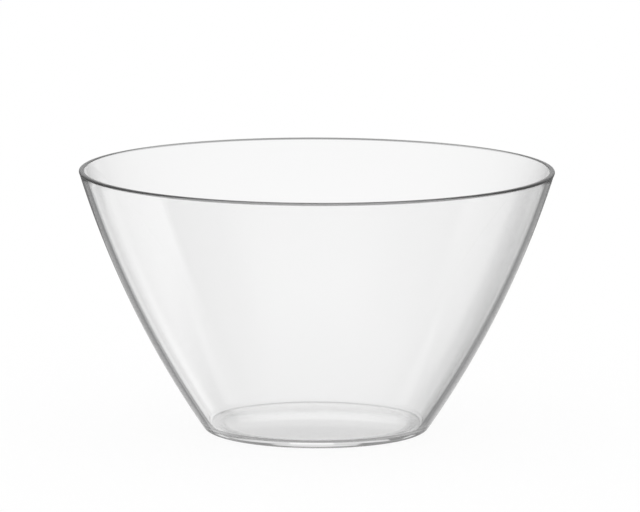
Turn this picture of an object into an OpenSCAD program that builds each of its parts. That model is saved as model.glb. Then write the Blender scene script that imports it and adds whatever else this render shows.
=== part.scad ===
// Salad bowl: one shell of clear glass, pressed in a single piece with no seam.
// It stands on the XY plane with its axis along +Z. Lengths are in millimetres.

/* [Outer shape] */
// Outer diameter of the rim
rim_diameter = 260; // [180:1:340]
// Height from the table to the top of the rim
bowl_height = 144; // [90:1:220]
// Diameter at which the outer wall, carried on down, meets the table
heel_diameter = 122; // [80:1:160]
// Radius of the gentle outward curve of the wall, seen in section
wall_curve = 525; // [250:5:2000]

/* [Glass thickness] */
// Thickness of the wall just below the rim
rim_wall = 2.9; // [2:0.1:5]
// Thickness of the wall just above the floor
heel_wall = 4; // [3:0.1:8]
// Thickness of the floor, which is the same from its middle to the wall
floor_thickness = 4.5; // [3:0.1:12]

/* [Rounding] */
// Radius of both edges of the flat rim
rim_rounding = 0.9; // [0.3:0.1:1]
// Radius of the outer corner between the wall and the foot ring
heel_radius = 4; // [1:0.1:8]
// Radius of the inner corner between the wall and the floor
floor_fillet = 5; // [3:0.5:25]

/* [Underside] */
// Width of the flat ring that the bowl stands on
foot_ring_width = 7; // [4:1:25]
// Depth, at the centre, of the domed hollow inside that ring
hollow_depth = 3.5; // [0.5:0.1:6]

/* [Hidden] */

// Facets round the axis, and steps along the curves of the section
turn_facets = 180;
wall_steps = 20;
round_steps = 10;

// Angle, seen from a centre, at which a point lies
function bearing(centre, point) = atan2(point.y - centre.y, point.x - centre.x);

// Points of an arc, without its first point, which ends the stretch before it
function arc(centre, radius, from, to, steps) = [
    for (i = [1:steps])
        let (angle = from + (to - from) * i / steps)
        centre + radius * [cos(angle), sin(angle)]
];

// Point at one distance from p and another from q, on the axis side of the line from p to q
function centre_from(p, p_distance, q, q_distance) =
    let (
        span = norm(q - p),
        along = (q - p) / span,
        run = (p_distance * p_distance - q_distance * q_distance + span * span) / (2 * span),
        rise = sqrt(p_distance * p_distance - run * run)
    )
    p + run * along + rise * [-along.y, along.x];

// Point at a given height and a given distance from a centre, on the side away from the axis
function level_point(centre, distance, height) =
    let (drop = height - centre.y)
    [centre.x + sqrt(distance * distance - drop * drop), height];

// Point at a distance from a centre, on the way to another point
function towards(centre, point, distance) = centre + distance * (point - centre) / norm(point - centre);

// Radius of a dome with a given rise over a given reach from the axis
function dome_curve(reach, rise) = (reach * reach + rise * rise) / (2 * rise);

// Rim: flat on top, with a rounding at either edge that runs into the wall without a corner
edge_height = bowl_height - rim_rounding;
outer_edge = [rim_diameter / 2 - rim_rounding, edge_height];

// Outer wall: from the heel up to the rim
heel_corner = [heel_diameter / 2, 0];
outer_centre = centre_from(heel_corner, wall_curve, outer_edge, wall_curve - rim_rounding);
heel_centre = level_point(outer_centre, wall_curve - heel_radius, heel_radius);

// Inner wall: from one thickness at the floor to another at the rim
outer_heel = level_point(outer_centre, wall_curve, floor_thickness);
inner_heel = towards(outer_centre, outer_heel, wall_curve - heel_wall);
inner_rim = towards(outer_centre, outer_edge, wall_curve - rim_wall);
inner_curve = wall_curve - (heel_wall + rim_wall) / 2;
inner_centre = centre_from(inner_heel, inner_curve, inner_rim, inner_curve);
inner_edge = level_point(inner_centre, inner_curve + rim_rounding, edge_height);
fillet_centre = level_point(inner_centre, inner_curve - floor_fillet, floor_thickness + floor_fillet);

// Underside: a flat ring around a dome
hollow_radius = heel_centre.x - foot_ring_width;
dome_radius = dome_curve(hollow_radius, hollow_depth);
dome_centre = [0, hollow_depth - dome_radius];

// Floor: it rises in the middle with the hollow, and runs into the rounding at the wall without a corner
crown_radius = dome_curve(fillet_centre.x, hollow_depth) - floor_fillet;
crown_centre = [0, floor_thickness + hollow_depth - crown_radius];

// Angles at which the curves of the section run into each other
dome_end = bearing(dome_centre, [hollow_radius, 0]);
heel_end = bearing(outer_centre, heel_centre);
outer_end = bearing(outer_centre, outer_edge);
rim_end = bearing(inner_edge, inner_centre);
inner_start = bearing(inner_centre, inner_edge);
inner_end = bearing(inner_centre, fillet_centre);
crown_start = bearing(crown_centre, fillet_centre);

// Half of the section through the axis, from the underside round the rim to the floor
section = concat(
    [[0, hollow_depth]],
    arc(dome_centre, dome_radius, 90, dome_end, round_steps),
    [[heel_centre.x, 0]],
    arc(heel_centre, heel_radius, -90, heel_end, round_steps),
    arc(outer_centre, wall_curve, heel_end, outer_end, wall_steps),
    arc(outer_edge, rim_rounding, outer_end, 90, round_steps),
    [[inner_edge.x, bowl_height]],
    arc(inner_edge, rim_rounding, 90, rim_end, round_steps),
    arc(inner_centre, inner_curve, inner_start, inner_end, wall_steps),
    arc(fillet_centre, floor_fillet, inner_end, crown_start - 180, round_steps),
    arc(crown_centre, crown_radius, crown_start, 90, round_steps)
);

// The whole bowl, turned from its section
module bowl() {
    color([0.92, 0.94, 0.94, 0.35])
        rotate_extrude($fn = turn_facets)
            polygon(section);
}

bowl();
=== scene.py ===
# %% [markdown]
# # A clear glass salad bowl
#
# The bowl is one piece of pressed glass: a flared wall, a flat rim, a raised floor and a foot ring.
# The imported CAD model is loaded first, because it fixes the size and the place of everything.

# %% Load the frame
import math

import bmesh
import bpy
from mathutils import Matrix, Vector


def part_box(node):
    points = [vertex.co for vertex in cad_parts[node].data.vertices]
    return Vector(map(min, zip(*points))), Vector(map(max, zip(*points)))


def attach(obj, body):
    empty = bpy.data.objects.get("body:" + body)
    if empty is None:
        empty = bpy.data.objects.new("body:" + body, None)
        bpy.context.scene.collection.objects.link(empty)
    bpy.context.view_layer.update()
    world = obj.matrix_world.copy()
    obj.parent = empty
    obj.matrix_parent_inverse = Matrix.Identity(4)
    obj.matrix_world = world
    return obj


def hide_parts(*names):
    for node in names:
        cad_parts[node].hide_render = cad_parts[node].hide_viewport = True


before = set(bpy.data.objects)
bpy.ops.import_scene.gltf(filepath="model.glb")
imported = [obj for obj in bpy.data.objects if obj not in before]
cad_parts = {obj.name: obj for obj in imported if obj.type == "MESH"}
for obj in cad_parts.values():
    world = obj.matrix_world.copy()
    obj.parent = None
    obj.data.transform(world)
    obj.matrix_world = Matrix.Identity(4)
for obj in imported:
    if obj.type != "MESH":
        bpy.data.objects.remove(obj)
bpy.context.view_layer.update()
scene = bpy.context.scene

# %% [markdown]
# ## The section of the bowl
#
# A pressed bowl is a body of revolution, so half of its section says everything about its shape.
# The height and the reach of the rim come from the frame, and the rest are the glass maker's sizes.
# The section is made of arcs that run into each other without a corner, so only their centres are needed.
# A centre follows from what the arc has to touch, which is how a draughtsman finds it with a compass.

# %% Sizes of the section, in metres
bowl_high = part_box("bowl")[1]
bowl_height = bowl_high.z
rim_reach = max(bowl_high.x, bowl_high.y)
heel_reach = 0.061
wall_curve = 0.525
rim_wall = 0.0029
heel_wall = 0.004
floor_thickness = 0.0045
rim_rounding = 0.0009
heel_rounding = 0.004
floor_fillet = 0.005
foot_ring_width = 0.007
hollow_depth = 0.0035
print("rim reach", round(rim_reach, 4), "height", round(bowl_height, 4))


# %% Where the arcs have their centres
def bearing(centre, point):
    """Angle at which a point of the section lies, seen from a centre."""
    return math.atan2(point.y - centre.y, point.x - centre.x)


def centre_from(p, p_distance, q, q_distance):
    """Point at one distance from p and another from q, on the axis side of the line from p to q."""
    span = (q - p).length
    along = (q - p) / span
    run = (p_distance**2 - q_distance**2 + span**2) / (2 * span)
    rise = math.sqrt(p_distance**2 - run**2)
    return p + run * along + rise * Vector((-along.y, along.x))


def level_point(centre, distance, height):
    """Point at a height and at a distance from a centre, on the side away from the axis."""
    drop = height - centre.y
    return Vector((centre.x + math.sqrt(distance**2 - drop**2), height))


def towards(centre, point, distance):
    """Point at a distance from a centre, on the way to another point."""
    return centre + distance * (point - centre).normalized()


def dome_curve(reach, rise):
    """Radius of a dome with a given rise over a given reach from the axis."""
    return (reach**2 + rise**2) / (2 * rise)


outer_edge = Vector((rim_reach - rim_rounding, bowl_height - rim_rounding))
heel_corner = Vector((heel_reach, 0))
outer_centre = centre_from(heel_corner, wall_curve, outer_edge, wall_curve - rim_rounding)
heel_centre = level_point(outer_centre, wall_curve - heel_rounding, heel_rounding)

outer_heel = level_point(outer_centre, wall_curve, floor_thickness)
inner_heel = towards(outer_centre, outer_heel, wall_curve - heel_wall)
inner_rim = towards(outer_centre, outer_edge, wall_curve - rim_wall)
inner_curve = wall_curve - (heel_wall + rim_wall) / 2
inner_centre = centre_from(inner_heel, inner_curve, inner_rim, inner_curve)
inner_edge = level_point(inner_centre, inner_curve + rim_rounding, bowl_height - rim_rounding)
fillet_centre = level_point(inner_centre, inner_curve - floor_fillet, floor_thickness + floor_fillet)

hollow_reach = heel_centre.x - foot_ring_width
dome_radius = dome_curve(hollow_reach, hollow_depth)
dome_centre = Vector((0, hollow_depth - dome_radius))
crown_radius = dome_curve(fillet_centre.x, hollow_depth) - floor_fillet
crown_centre = Vector((0, floor_thickness + hollow_depth - crown_radius))
print("wall arc centre", outer_centre, "flat of the rim", round(outer_edge.x - inner_edge.x, 5))

# %% [markdown]
# ## Turning the glass
#
# The section could be typed in as a long list of points, but Blender can draw it:
# spinning one vertex about a centre leaves an arc behind it, and extruding it leaves a line.
# The finished wire is then spun once round the axis, like clay on a wheel.
# The vertices that meet on the axis are merged, and the normals are recalculated after that,
# because glass only refracts properly when every face knows which side is air.

# %% Draw the half section as a wire
SECTION_START = Vector((0, 0, hollow_depth))
QUARTER_TURN = math.pi / 2
WALL_STEPS = 48
ROUND_STEPS = 20
HOLD = 0.0001

glass = bmesh.new()


def line_to(end, reach, height):
    """Extrude the wire's last vertex along a straight line."""
    stride = Vector((reach, 0, height)) - end.co
    end = bmesh.ops.extrude_vert_indiv(glass, verts=[end])["verts"][0]
    bmesh.ops.translate(glass, verts=[end], vec=stride)
    return end


def flat_to(end, reach):
    """Extrude a level stretch, with a short edge at either end that keeps it flat under smooth shading."""
    height = end.co.z
    hold = math.copysign(HOLD, reach - end.co.x)
    for stop in (end.co.x + hold, reach - hold, reach):
        end = line_to(end, stop, height)
    return end


def arc_about(end, centre, start, stop, steps):
    """Spin the wire's last vertex about a centre, from one angle to another."""
    made = bmesh.ops.spin(
        glass,
        geom=[end],
        cent=(centre.x, 0, centre.y),
        axis=(0, -1, 0),
        angle=stop - start,
        steps=steps,
    )
    return next(part for part in made["geom_last"] if isinstance(part, bmesh.types.BMVert))


end = glass.verts.new(SECTION_START)
hollow_end = bearing(dome_centre, Vector((hollow_reach, 0)))
end = arc_about(end, dome_centre, QUARTER_TURN, hollow_end, ROUND_STEPS)
end = flat_to(end, heel_centre.x)
heel_end = bearing(outer_centre, heel_centre)
end = arc_about(end, heel_centre, -QUARTER_TURN, heel_end, ROUND_STEPS)
outer_end = bearing(outer_centre, outer_edge)
end = arc_about(end, outer_centre, heel_end, outer_end, WALL_STEPS)
end = arc_about(end, outer_edge, outer_end, QUARTER_TURN, ROUND_STEPS)
end = flat_to(end, inner_edge.x)
end = arc_about(end, inner_edge, QUARTER_TURN, bearing(inner_edge, inner_centre), ROUND_STEPS)
inner_end = bearing(inner_centre, fillet_centre)
end = arc_about(end, inner_centre, bearing(inner_centre, inner_edge), inner_end, WALL_STEPS)
crown_start = bearing(crown_centre, fillet_centre)
end = arc_about(end, fillet_centre, inner_end, crown_start - math.pi, ROUND_STEPS)
end = arc_about(end, crown_centre, crown_start, QUARTER_TURN, ROUND_STEPS)
end.co.x = 0
print("section:", len(glass.verts), "vertices, ending at", end.co)

# %% Spin the section round the axis
TURN_STEPS = 320
MERGE_DISTANCE = 1e-6
CUBIC_CENTIMETRES = 1e6

bmesh.ops.spin(
    glass,
    geom=glass.verts[:] + glass.edges[:],
    cent=(0, 0, 0),
    axis=(0, 0, 1),
    angle=2 * math.pi,
    steps=TURN_STEPS,
    use_merge=True,
)
bmesh.ops.remove_doubles(glass, verts=glass.verts[:], dist=MERGE_DISTANCE)
bmesh.ops.recalc_face_normals(glass, faces=glass.faces[:])

bowl_mesh = bpy.data.meshes.new("glass_bowl")
glass.to_mesh(bowl_mesh)
bowl_volume = glass.calc_volume(signed=True)
glass.free()
bowl_mesh.shade_smooth()
glass_bowl = bpy.data.objects.new("glass_bowl", bowl_mesh)
scene.collection.objects.link(glass_bowl)
print("glass bowl:", len(bowl_mesh.polygons), "faces")
print("glass:", round(bowl_volume * CUBIC_CENTIMETRES, 1), "cubic centimetres")

# %% Tie the piece to the frame
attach(glass_bowl, "root")
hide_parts("bowl")
print("glass_bowl rides on root and stands in for the node bowl")

# %% [markdown]
# ## Clear glass
#
# Tableware glass is almost free of colour and bends light with an index of about 1.5.
# A flame polishes the pressed bowl, so it is smooth, but never quite even: the mould leaves a slow ripple.
# Two places stay dull. The ring that it stands on keeps the fine stipple of the mould,
# which grips the table and spreads the light that passes through the foot.
# The rim is ground and left satin, further down on its outer edge than on its inner one, and its fine
# scratches scatter light.
# Its colour is also darkened all round: painted shade that draws it as a grey line,
# where a clear rim would vanish in front of white paper.
# A plain glass shader would make both as clear as the wall. So the depth below the rim, which a slant tips
# towards the outer edge, and the height above the table tell the three finishes and the rim's painted
# shade apart.
# Noise on the Object coordinates makes the polish and the ripple.

# %% Node helpers
OFF_TO_ON = (0.0, 1.0)
ON_TO_OFF = (1.0, 0.0)
WHITE = (1.0, 1.0, 1.0, 1.0)
LEVEL = (1.0, 1.0, 0.0)
# A ray's bounces are whole numbers, so this tells none from one
NOT_YET_ONE = 0.5


def link(tree, source, target):
    """Join an output socket to an input socket."""
    tree.links.new(source, target)


def add_node(tree, kind, **values):
    """Add a node, and set its own settings or the inputs that are named."""
    made = tree.nodes.new(kind)
    for name, value in values.items():
        if name in made.inputs:
            made.inputs[name].default_value = value
        else:
            setattr(made, name, value)
    return made


def split(tree, vector):
    """Take a vector apart into its X, Y and Z."""
    made = add_node(tree, "ShaderNodeSeparateXYZ")
    link(tree, vector, made.inputs[0])
    return made.outputs


def level_length(tree, vector):
    """Measure how long a vector is when it is laid level, without its height."""
    flat = add_node(tree, "ShaderNodeVectorMath", operation="MULTIPLY")
    link(tree, vector, flat.inputs[0])
    flat.inputs[1].default_value = LEVEL
    made = add_node(tree, "ShaderNodeVectorMath", operation="LENGTH")
    link(tree, flat.outputs[0], made.inputs[0])
    return made.outputs["Value"]


def calculate(tree, operation, first, second=0.0):
    """Work out a number from two sockets or plain numbers."""
    made = add_node(tree, "ShaderNodeMath", operation=operation)
    for socket, value in zip(made.inputs, (first, second)):
        if isinstance(value, float):
            socket.default_value = value
        else:
            link(tree, value, socket)
    return made.outputs[0]


def map_range(tree, value, bounds, results, interpolation="LINEAR"):
    """Turn a number between two bounds into one between two results, and hold it there beyond them."""
    made = add_node(tree, "ShaderNodeMapRange", interpolation_type=interpolation)
    link(tree, value, made.inputs["Value"])
    made.inputs["From Min"].default_value, made.inputs["From Max"].default_value = bounds
    made.inputs["To Min"].default_value, made.inputs["To Max"].default_value = results
    return made.outputs["Result"]


def blend(tree, factor, plain, other):
    """Go from one number to another as a factor goes from 0 to 1."""
    made = add_node(tree, "ShaderNodeMix", data_type="FLOAT")
    for socket, value in (("Factor", factor), ("A", plain), ("B", other)):
        if isinstance(value, float):
            made.inputs[socket].default_value = value
        else:
            link(tree, value, made.inputs[socket])
    return made.outputs["Result"]


def mix_shaders(tree, factor, plain, other):
    """Go from one shader to another as a factor goes from 0 to 1."""
    made = add_node(tree, "ShaderNodeMixShader")
    if isinstance(factor, float):
        made.inputs["Fac"].default_value = factor
    else:
        link(tree, factor, made.inputs["Fac"])
    link(tree, plain, made.inputs[1])
    link(tree, other, made.inputs[2])
    return made.outputs[0]


# %% Glass material
GLASS_CLARITY = 0.995
# painted shade: the clear colour that the rim is darkened to, for a grey line all round
RIM_PAINTED_SHADE = 0.17
RIM_ROUGHNESS = 0.3
RIM_SLANT = 0.38
RIM_FADE = (0.00178, 0.00114)
GLASS_INDEX = 1.5
POLISH_SCALE = 60.0
POLISH_DETAIL = 2.0
NOISE_SPREAD = (0.3, 0.7)
POLISH_ROUGHNESS = (0.0, 0.006)
RING_FADE = (0.0004, 0.0002)
STIPPLE_ROUGHNESS = 0.25
RIPPLE_SCALE = 24.0
RIPPLE_DETAIL = 1.0
RIPPLE_HEIGHT = 0.00002
RIPPLE_STRENGTH = 0.5


def make_clear_glass():
    """Colourless tableware glass, polished all over but for a satin rim with painted shade and a stippled
    foot ring.
    """
    material = bpy.data.materials.new("clear_glass")
    material.use_nodes = True
    tree = material.node_tree
    shader = tree.nodes["Principled BSDF"]
    shader.inputs["Transmission Weight"].default_value = 1.0
    shader.inputs["IOR"].default_value = GLASS_INDEX
    place = add_node(tree, "ShaderNodeTexCoord").outputs["Object"]
    height = split(tree, place)["Z"]
    inset = calculate(tree, "SUBTRACT", rim_reach, level_length(tree, place))
    drop = calculate(tree, "SUBTRACT", bowl_height, height)
    depth = calculate(tree, "ADD", drop, calculate(tree, "MULTIPLY", inset, RIM_SLANT))
    rim = map_range(tree, depth, RIM_FADE, OFF_TO_ON, "SMOOTHSTEP")
    # painted shade: the glass colour turns dark grey in the band below the rim
    clarity_and_painted_rim_shade = blend(tree, rim, GLASS_CLARITY, RIM_PAINTED_SHADE)
    colour = add_node(tree, "ShaderNodeCombineColor")
    for channel in colour.inputs:
        link(tree, clarity_and_painted_rim_shade, channel)
    link(tree, colour.outputs[0], shader.inputs["Base Color"])
    smear = add_node(tree, "ShaderNodeTexNoise", Scale=POLISH_SCALE, Detail=POLISH_DETAIL)
    link(tree, place, smear.inputs["Vector"])
    polish = map_range(tree, smear.outputs["Fac"], NOISE_SPREAD, POLISH_ROUGHNESS)
    finish = blend(tree, rim, polish, RIM_ROUGHNESS)
    ring = map_range(tree, height, RING_FADE, OFF_TO_ON)
    link(tree, blend(tree, ring, finish, STIPPLE_ROUGHNESS), shader.inputs["Roughness"])
    ripple = add_node(tree, "ShaderNodeTexNoise", Scale=RIPPLE_SCALE, Detail=RIPPLE_DETAIL)
    link(tree, place, ripple.inputs["Vector"])
    bump = add_node(tree, "ShaderNodeBump", Strength=RIPPLE_STRENGTH, Distance=RIPPLE_HEIGHT)
    link(tree, ripple.outputs["Fac"], bump.inputs["Height"])
    link(tree, bump.outputs["Normal"], shader.inputs["Normal"])
    return material


glass_bowl.data.materials.append(make_clear_glass())
print("glass: index", GLASS_INDEX, "rim roughness", RIM_ROUGHNESS, "ring roughness", STIPPLE_ROUGHNESS)

# %% [markdown]
# ## White paper
#
# The bowl stands on white paper that runs on as the backdrop,
# and its clear walls show that paper straight through.
# Part of the paper's light is a glow of its own, as on a light table,
# so the shadow at the foot stays soft and faint.
# Light that has been mirrored inside the glass comes from far to the side, where a real sheet has ended
# and the dim room begins. A sheet of the right size would need a table and a room to be built around it.
# Here the paper simply lets such light through, apart from the spot that the bowl stands on.
# That spot glows with painted light, brighter at the back than at the front, as if the backdrop lit it
# from behind.

# %% Floor
PAPER_HALF = 12.0
PAPER_GAP = 0.0002
PAPER_GLOW = 0.9
SPOT_REACH = (-0.05, 0.05)
# painted light: glow of the spot at its front and its back, brighter at the back
SPOT_PAINTED_LIGHT = (0.38, 1.0)
SPOT_FADE = (0.060, 0.068)


def make_white_paper():
    """White paper with a faint shadow, which only reaches as far as the foot for mirrored light, where it
    is a spot of painted light.
    """
    material = bpy.data.materials.new("white_paper")
    material.use_nodes = True
    tree = material.node_tree
    tree.nodes.remove(tree.nodes["Principled BSDF"])
    path = add_node(tree, "ShaderNodeLightPath")
    place = add_node(tree, "ShaderNodeTexCoord").outputs["Object"]
    paper = add_node(tree, "ShaderNodeBsdfDiffuse", Color=WHITE).outputs[0]
    glow = add_node(tree, "ShaderNodeEmission", Strength=1.0).outputs[0]
    spot = add_node(tree, "ShaderNodeEmission")
    clear = add_node(tree, "ShaderNodeBsdfTransparent").outputs[0]
    # painted light: the spot's glow grows from the front to the back
    spot_painted_light = map_range(tree, split(tree, place)["Y"], SPOT_REACH, SPOT_PAINTED_LIGHT)
    link(tree, spot_painted_light, spot.inputs["Strength"])
    beyond = map_range(tree, level_length(tree, place), SPOT_FADE, OFF_TO_ON, "SMOOTHSTEP")
    mirrored = calculate(tree, "GREATER_THAN", path.outputs["Glossy Depth"], NOT_YET_ONE)
    lit = mix_shaders(tree, PAPER_GLOW, paper, glow)
    seen = mix_shaders(tree, mirrored, lit, mix_shaders(tree, beyond, spot.outputs[0], clear))
    surface = mix_shaders(tree, path.outputs["Is Diffuse Ray"], seen, paper)
    link(tree, surface, tree.nodes["Material Output"].inputs["Surface"])
    return material


paper_build = bmesh.new()
bmesh.ops.create_grid(paper_build, x_segments=1, y_segments=1, size=PAPER_HALF)
bmesh.ops.translate(paper_build, verts=paper_build.verts[:], vec=(0, 0, -PAPER_GAP))
paper_mesh = bpy.data.meshes.new("floor")
paper_build.to_mesh(paper_mesh)
paper_build.free()
floor = bpy.data.objects.new("floor", paper_mesh)
scene.collection.objects.link(floor)
floor.data.materials.append(make_white_paper())
floor.visible_glossy = False
print("floor: white paper,", 2 * PAPER_HALF, "metres across")

# %% [markdown]
# ## Studio
#
# Clear glass has no colour of its own, so its edges and lines are made of what they reflect.
# A photographer draws them with a lit backdrop behind the glass, softboxes at the sides
# and a dim room around.
# These could be real panels with lamps, but the light would then also fall unevenly on the paper.
# So the world shader holds the panels as windows of directions: azimuth is measured to the right from
# straight behind the bowl, elevation upwards from the horizon, and both in degrees.
# A line on the glass in the photograph says where a panel ends, through the direction
# that is mirrored there: the slanting line on the left of the wall is the edge of a softbox
# at 90 degrees to the left.
# Only light that the glass has bent or mirrored sees the panels. The paper is lit by an even white dome.

# %% Directions of the studio
world = bpy.data.worlds.new("studio")
scene.world = world
world.use_nodes = True
sky = world.node_tree
direction = split(sky, add_node(sky, "ShaderNodeTexCoord").outputs["Generated"])
azimuth = calculate(sky, "DEGREES", calculate(sky, "ARCTAN2", direction["X"], direction["Y"]))
elevation = calculate(sky, "DEGREES", calculate(sky, "ARCSINE", direction["Z"]))


def span_mask(angle, span, edges):
    """1 between two angles, fading to 0 across the soft edge at either end."""
    (start, stop), (start_edge, stop_edge) = span, edges
    enter = map_range(sky, angle, (start - start_edge, start + start_edge), OFF_TO_ON, "SMOOTHSTEP")
    leave = map_range(sky, angle, (stop - stop_edge, stop + stop_edge), ON_TO_OFF, "SMOOTHSTEP")
    return calculate(sky, "MULTIPLY", enter, leave)


def hang_panel(room, tone, azimuths, elevations, side_edges, level_edges):
    """Hang a panel of one tone in front of what the room shows so far, with a soft edge on each side."""
    across = span_mask(azimuth, azimuths, side_edges)
    upwards = span_mask(elevation, elevations, level_edges)
    return blend(sky, calculate(sky, "MULTIPLY", across, upwards), room, tone)


# %% Panels behind the bowl
ROOM_TONE = 0.24
CEILING_TONE = 0.49
CEILING_RISE = (17.0, 45.0)
LEFT_WING = dict(
    tone=0.8, azimuths=(-30.0, 0.0), elevations=(7.0, 17.5),
    side_edges=(1.0, 1.0), level_edges=(2.0, 1.0))
RIGHT_WING = dict(
    tone=0.8, azimuths=(0.0, 38.0), elevations=(4.0, 17.5),
    side_edges=(1.0, 6.0), level_edges=(4.0, 1.0))
HALO = dict(
    tone=0.76, azimuths=(-16.0, 16.0), elevations=(1.0, 20.0),
    side_edges=(1.0, 2.0), level_edges=(1.0, 8.0))
TABLE_EDGE = dict(
    tone=0.85, azimuths=(-12.5, 13.5), elevations=(-24.0, -12.5),
    side_edges=(6.0, 5.0), level_edges=(14.0, 0.6))
BACKDROP = dict(
    tone=1.0, azimuths=(-6.0, 9.0), elevations=(-12.0, 13.8),
    side_edges=(0.5, 0.5), level_edges=(0.5, 1.0))

room = map_range(sky, elevation, CEILING_RISE, (ROOM_TONE, CEILING_TONE), "SMOOTHSTEP")
for panel in (LEFT_WING, RIGHT_WING, HALO, TABLE_EDGE, BACKDROP):
    room = hang_panel(room, **panel)
print("behind the bowl: a backdrop with a halo, two wings and the edge of the table")

# %% Panels at the sides
LEFT_FLAG = dict(
    tone=0.05, azimuths=(-128.0, -90.0), elevations=(-60.0, -24.0),
    side_edges=(14.0, 1.0), level_edges=(8.0, 4.0))
LEFT_SOFTBOX = dict(
    tone=0.95, azimuths=(-90.0, -38.0), elevations=(-42.0, -20.0),
    side_edges=(1.0, 1.0), level_edges=(7.0, 2.0))
LEFT_STRIP = dict(
    tone=0.81, azimuths=(-38.0, -26.5), elevations=(-53.0, -15.0),
    side_edges=(1.0, 1.0), level_edges=(3.0, 0.5))
RIGHT_SOFTBOX = dict(
    tone=0.55, azimuths=(57.0, 94.0), elevations=(-42.0, -22.0),
    side_edges=(2.0, 1.0), level_edges=(7.0, 3.0))
RIGHT_STRIP = dict(
    tone=0.56, azimuths=(26.5, 41.0), elevations=(-25.4, -15.3),
    side_edges=(1.0, 2.3), level_edges=(7.5, 0.5))
HIGH_LAMP = dict(tone=0.8, elevations=(25.0, 40.0), side_edges=(2.0, 2.0), level_edges=(2.0, 2.0))
HIGH_LAMP_PLACES = ((-75.0, -55.0), (55.0, 75.0))

for panel in (LEFT_FLAG, LEFT_SOFTBOX, LEFT_STRIP, RIGHT_SOFTBOX, RIGHT_STRIP):
    room = hang_panel(room, **panel)
for place in HIGH_LAMP_PLACES:
    room = hang_panel(room, azimuths=place, **HIGH_LAMP)
print("at the sides: a softbox and a strip on either side, a black flag on the left and two high lamps")

# %% Paper in front of the bowl
FRONT_PAPER = dict(tone=0.47, elevations=(-60.0, -36.0), side_edges=(20.0, 20.0), level_edges=(6.0, 8.0))
FRONT_PAPER_HALVES = ((-220.0, -140.0), (140.0, 220.0))

for half in FRONT_PAPER_HALVES:
    room = hang_panel(room, azimuths=half, **FRONT_PAPER)
print("in front: paper that the near wall mirrors, from either side of the camera")

# %% World shader
DOME_LEVEL = 1.0

path = add_node(sky, "ShaderNodeLightPath")
bent = calculate(sky, "MAXIMUM", path.outputs["Is Glossy Ray"], path.outputs["Is Transmission Ray"])
direct = calculate(sky, "LESS_THAN", path.outputs["Diffuse Depth"], NOT_YET_ONE)
through_glass = calculate(sky, "MULTIPLY", bent, direct)
background = sky.nodes["Background"]
background.inputs["Color"].default_value = WHITE
link(sky, blend(sky, through_glass, DOME_LEVEL, room), background.inputs["Strength"])
print("world: the glass sees the studio, and all else an even white dome")

# %% [markdown]
# ## Camera
#
# The photograph looks slightly down at the bowl through a long lens, so the rim shows as a narrow ellipse.
# The distance, height and tilt are the ones at which the rim, the heel and the foot fall on their places
# in a frame that is 640 pixels wide. The focal length is worked out from the size of a pixel at the bowl.

# %% Camera
CAMERA_DISTANCE = 3.0
CAMERA_HEIGHT = 0.5643
CAMERA_PITCH = 0.1549
CAMERA_ROLL = 0.0031
CAMERA_YAW = -0.000616
SENSOR_WIDTH = 36.0
IMAGE_WIDTH = 640
PIXELS_PER_METRE = 1847.3
CLIP_END = 50.0

camera_data = bpy.data.cameras.new("camera")
camera_data.sensor_width = SENSOR_WIDTH
camera_data.lens = SENSOR_WIDTH * PIXELS_PER_METRE * CAMERA_DISTANCE / IMAGE_WIDTH
camera_data.clip_end = CLIP_END
camera = bpy.data.objects.new("camera", camera_data)
scene.collection.objects.link(camera)
turn = Matrix.Rotation(CAMERA_YAW, 3, "Z") @ Matrix.Rotation(QUARTER_TURN - CAMERA_PITCH, 3, "X")
turn = turn @ Matrix.Rotation(CAMERA_ROLL, 3, "Z")
camera.location = (0, -CAMERA_DISTANCE, CAMERA_HEIGHT)
camera.rotation_euler = turn.to_euler()
scene.camera = camera
print("camera: lens", round(camera_data.lens, 1), "mm")

# %% [markdown]
# ## Render settings
#
# Light goes in and out of clear glass many times before it leaves, and each time counts as a bounce.
# With the usual limit the thick foot and the edges of the wall would turn black, so the limit is raised.

# %% Render settings
ALL_BOUNCES = 128
MIRROR_BOUNCES = 112
GLASS_BOUNCES = 64

scene.view_settings.view_transform = "Standard"
scene.cycles.max_bounces = ALL_BOUNCES
scene.cycles.glossy_bounces = MIRROR_BOUNCES
scene.cycles.transmission_bounces = GLASS_BOUNCES
print("bounces:", ALL_BOUNCES, "in all,", MIRROR_BOUNCES, "mirrored,", GLASS_BOUNCES, "through glass")
